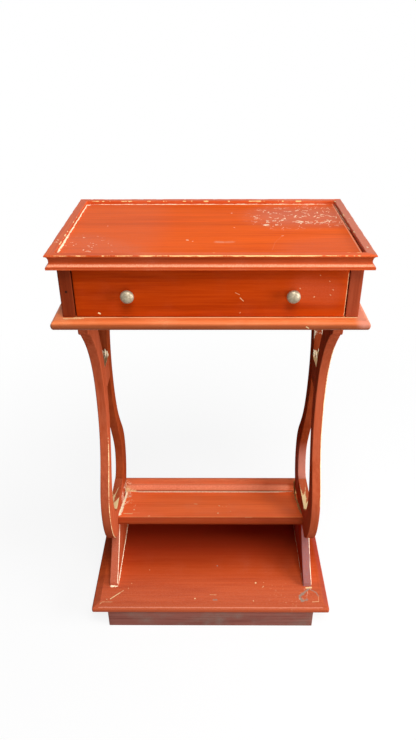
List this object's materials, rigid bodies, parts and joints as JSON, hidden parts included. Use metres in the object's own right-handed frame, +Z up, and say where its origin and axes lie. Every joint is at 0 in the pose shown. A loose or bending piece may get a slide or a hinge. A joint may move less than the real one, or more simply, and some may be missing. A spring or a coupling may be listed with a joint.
{
  "type": "side table",
  "caption": "Narrow side table with a moulded tray top, a drawer with round knobs, lyre-shaped ends, a tilted book trough between them and a base board on a plinth.",
  "frame": {"origin": "on the floor under the middle of the table", "axes": "+Z up, -Y towards the drawer front, +X to the right seen from the front"},
  "size_m": [0.466, 0.331, 0.7538],
  "materials": {
    "orange_stain": "worn orange-red stain under satin varnish",
    "red_stain": "worn red stain under satin varnish",
    "brown_stain": "brown-red stain, dull",
    "bare_wood": "bare wood",
    "knob_metal": "aged pewter",
    "screw_steel": "plain steel"
  },
  "bodies": {
    "frame": {"top_panel": "orange_stain", "top_rim_front": "red_stain", "top_rim_back": "red_stain", "top_rim_left": "red_stain", "top_rim_right": "red_stain", "case_side_left": "brown_stain", "case_side_right": "brown_stain", "case_back": "brown_stain", "case_bottom": "orange_stain", "drawer_stop_left": "bare_wood", "drawer_stop_right": "bare_wood", "lyre_front_arm_left": "red_stain", "lyre_front_arm_right": "red_stain", "lyre_rear_arm_left": "red_stain", "lyre_rear_arm_right": "red_stain", "lyre_waist_block_left": "red_stain", "lyre_waist_block_right": "red_stain", "lyre_bottom_block_left": "red_stain", "lyre_bottom_block_right": "red_stain", "foot_left": "red_stain", "foot_right": "red_stain", "case_screw_left_front": "screw_steel", "case_screw_left_back": "screw_steel", "case_screw_right_front": "screw_steel", "case_screw_right_back": "screw_steel", "foot_screw_left_front": "screw_steel", "foot_screw_left_back": "screw_steel", "foot_screw_right_front": "screw_steel", "foot_screw_right_back": "screw_steel", "foot_dowel_left_front": "bare_wood", "foot_dowel_left_back": "bare_wood", "foot_dowel_right_front": "bare_wood", "foot_dowel_right_back": "bare_wood", "trough_dowel_left": "bare_wood", "trough_dowel_right": "bare_wood", "trough_shelf": "orange_stain", "trough_rail": "red_stain", "base_board": "orange_stain", "plinth_front": "brown_stain", "plinth_back": "brown_stain", "plinth_left": "brown_stain", "plinth_right": "brown_stain", "plinth_block_left_front": "bare_wood", "plinth_block_left_back": "bare_wood", "plinth_block_right_front": "bare_wood", "plinth_block_right_back": "bare_wood"},
    "drawer": {"drawer_front": "orange_stain", "drawer_side_left": "bare_wood", "drawer_side_right": "bare_wood", "drawer_back": "bare_wood", "drawer_bottom": "bare_wood", "knob_left": "knob_metal", "knob_right": "knob_metal", "knob_screw_left": "screw_steel", "knob_screw_right": "screw_steel"}
  },
  "joints": [
    {"name": "drawer_slide", "type": "slide", "parent": "frame", "child": "drawer", "axis": [0, -1, 0], "range_m": [0, 0.19]}
  ]
}
